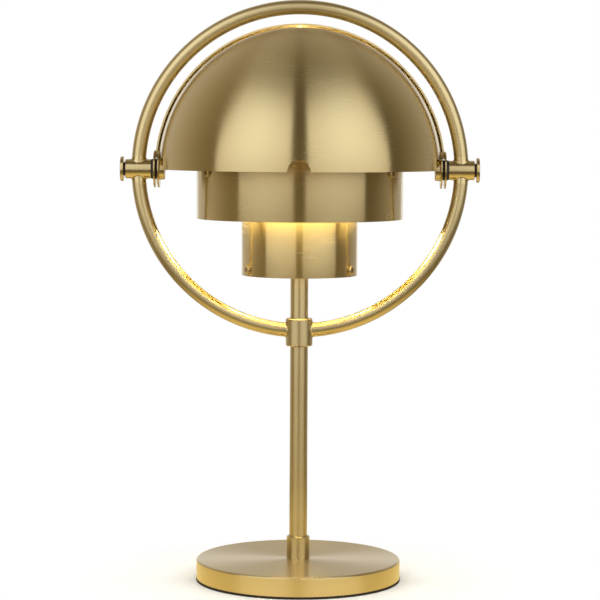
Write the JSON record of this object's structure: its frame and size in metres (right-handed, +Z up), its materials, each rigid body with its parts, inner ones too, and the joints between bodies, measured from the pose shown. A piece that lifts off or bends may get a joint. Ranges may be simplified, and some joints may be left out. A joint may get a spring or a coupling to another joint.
{
  "type": "dome shade desk lamp",
  "caption": "Desk lamp on a round weighted foot: a stem carries a hoop, in which two quarter-sphere shades turn around nested open cylinders and a bulb.",
  "frame": {"origin": "centre of the underside of the foot, on the surface that the lamp stands on", "axes": "+Z up along the stem, +X along the shades' pivots to the right as seen from the front, -Y towards the front"},
  "size_m": [0.3114, 0.248, 0.5056],
  "materials": {
    "satin_brass": "fine brushed satin brass under clear lacquer",
    "bare_brass": "bare turned brass",
    "bright_steel": "zinc-plated steel",
    "grey_iron": "rough cast, primed",
    "black_nylon": "matt black",
    "foot_rubber": "black foam rubber",
    "lead_sheath": "smooth sheath",
    "holder_resin": "moulded, fine matt",
    "holder_ceramic": "unglazed ceramic",
    "opal_glass": "opal white, lit warm",
    "plated_cap": "nickel-plated"
  },
  "bodies": {
    "stand": {"base_cover": "satin_brass", "base_pad": "foot_rubber", "base_weight": "grey_iron", "bulb_cap": "plated_cap", "bulb_glass": "opal_glass", "bulb_insulator": "black_nylon", "bulb_tip": "plated_cap", "cable_grommet": "black_nylon", "clamp_nut": "bright_steel", "collar_screw": "bright_steel", "ear_washer_left": "black_nylon", "ear_washer_right": "black_nylon", "floor_plate": "bright_steel", "floor_screws": "bright_steel", "holder_contact": "bare_brass", "holder_core": "holder_ceramic", "holder_cup": "holder_resin", "holder_nipple": "bright_steel", "holder_skirt": "holder_resin", "holder_sleeve": "bare_brass", "hub_left": "satin_brass", "hub_right": "satin_brass", "hub_washer_left": "black_nylon", "hub_washer_right": "black_nylon", "inner_cylinder": "satin_brass", "inner_cylinder_screws": "satin_brass", "inner_lead": "lead_sheath", "knob_left": "satin_brass", "knob_right": "satin_brass", "knob_washer_left": "black_nylon", "knob_washer_right": "black_nylon", "lower_spider": "satin_brass", "middle_cylinder": "satin_brass", "middle_cylinder_screws": "satin_brass", "pivot_nut_left": "satin_brass", "pivot_nut_right": "satin_brass", "pivot_pin_left": "bright_steel", "pivot_pin_right": "bright_steel", "ring_collar": "satin_brass", "ring_lower_left_arc": "satin_brass", "ring_lower_right_arc": "satin_brass", "ring_upper_arc": "satin_brass", "shade_ring_lower": "holder_resin", "shade_ring_upper": "holder_resin", "stem_bush": "bare_brass", "stem_ferrule": "satin_brass", "stem_nut": "bright_steel", "stem_tube": "satin_brass", "upper_spider": "satin_brass"},
    "front_dome": {"front_shade": "satin_brass", "front_ear_left": "satin_brass", "front_ear_right": "satin_brass"},
    "back_dome": {"back_shade": "satin_brass", "back_ear_left": "satin_brass", "back_ear_right": "satin_brass"}
  },
  "joints": [
    {"name": "front_shade_turn", "type": "hinge", "parent": "stand", "child": "front_dome", "pos_m": [0, 0, 0.3594], "axis": [1, 0, 0], "range_deg": [-176, 90]},
    {"name": "back_shade_turn", "type": "hinge", "parent": "stand", "child": "back_dome", "pos_m": [0, 0, 0.3594], "axis": [1, 0, 0], "range_deg": [-90, 176]}
  ]
}
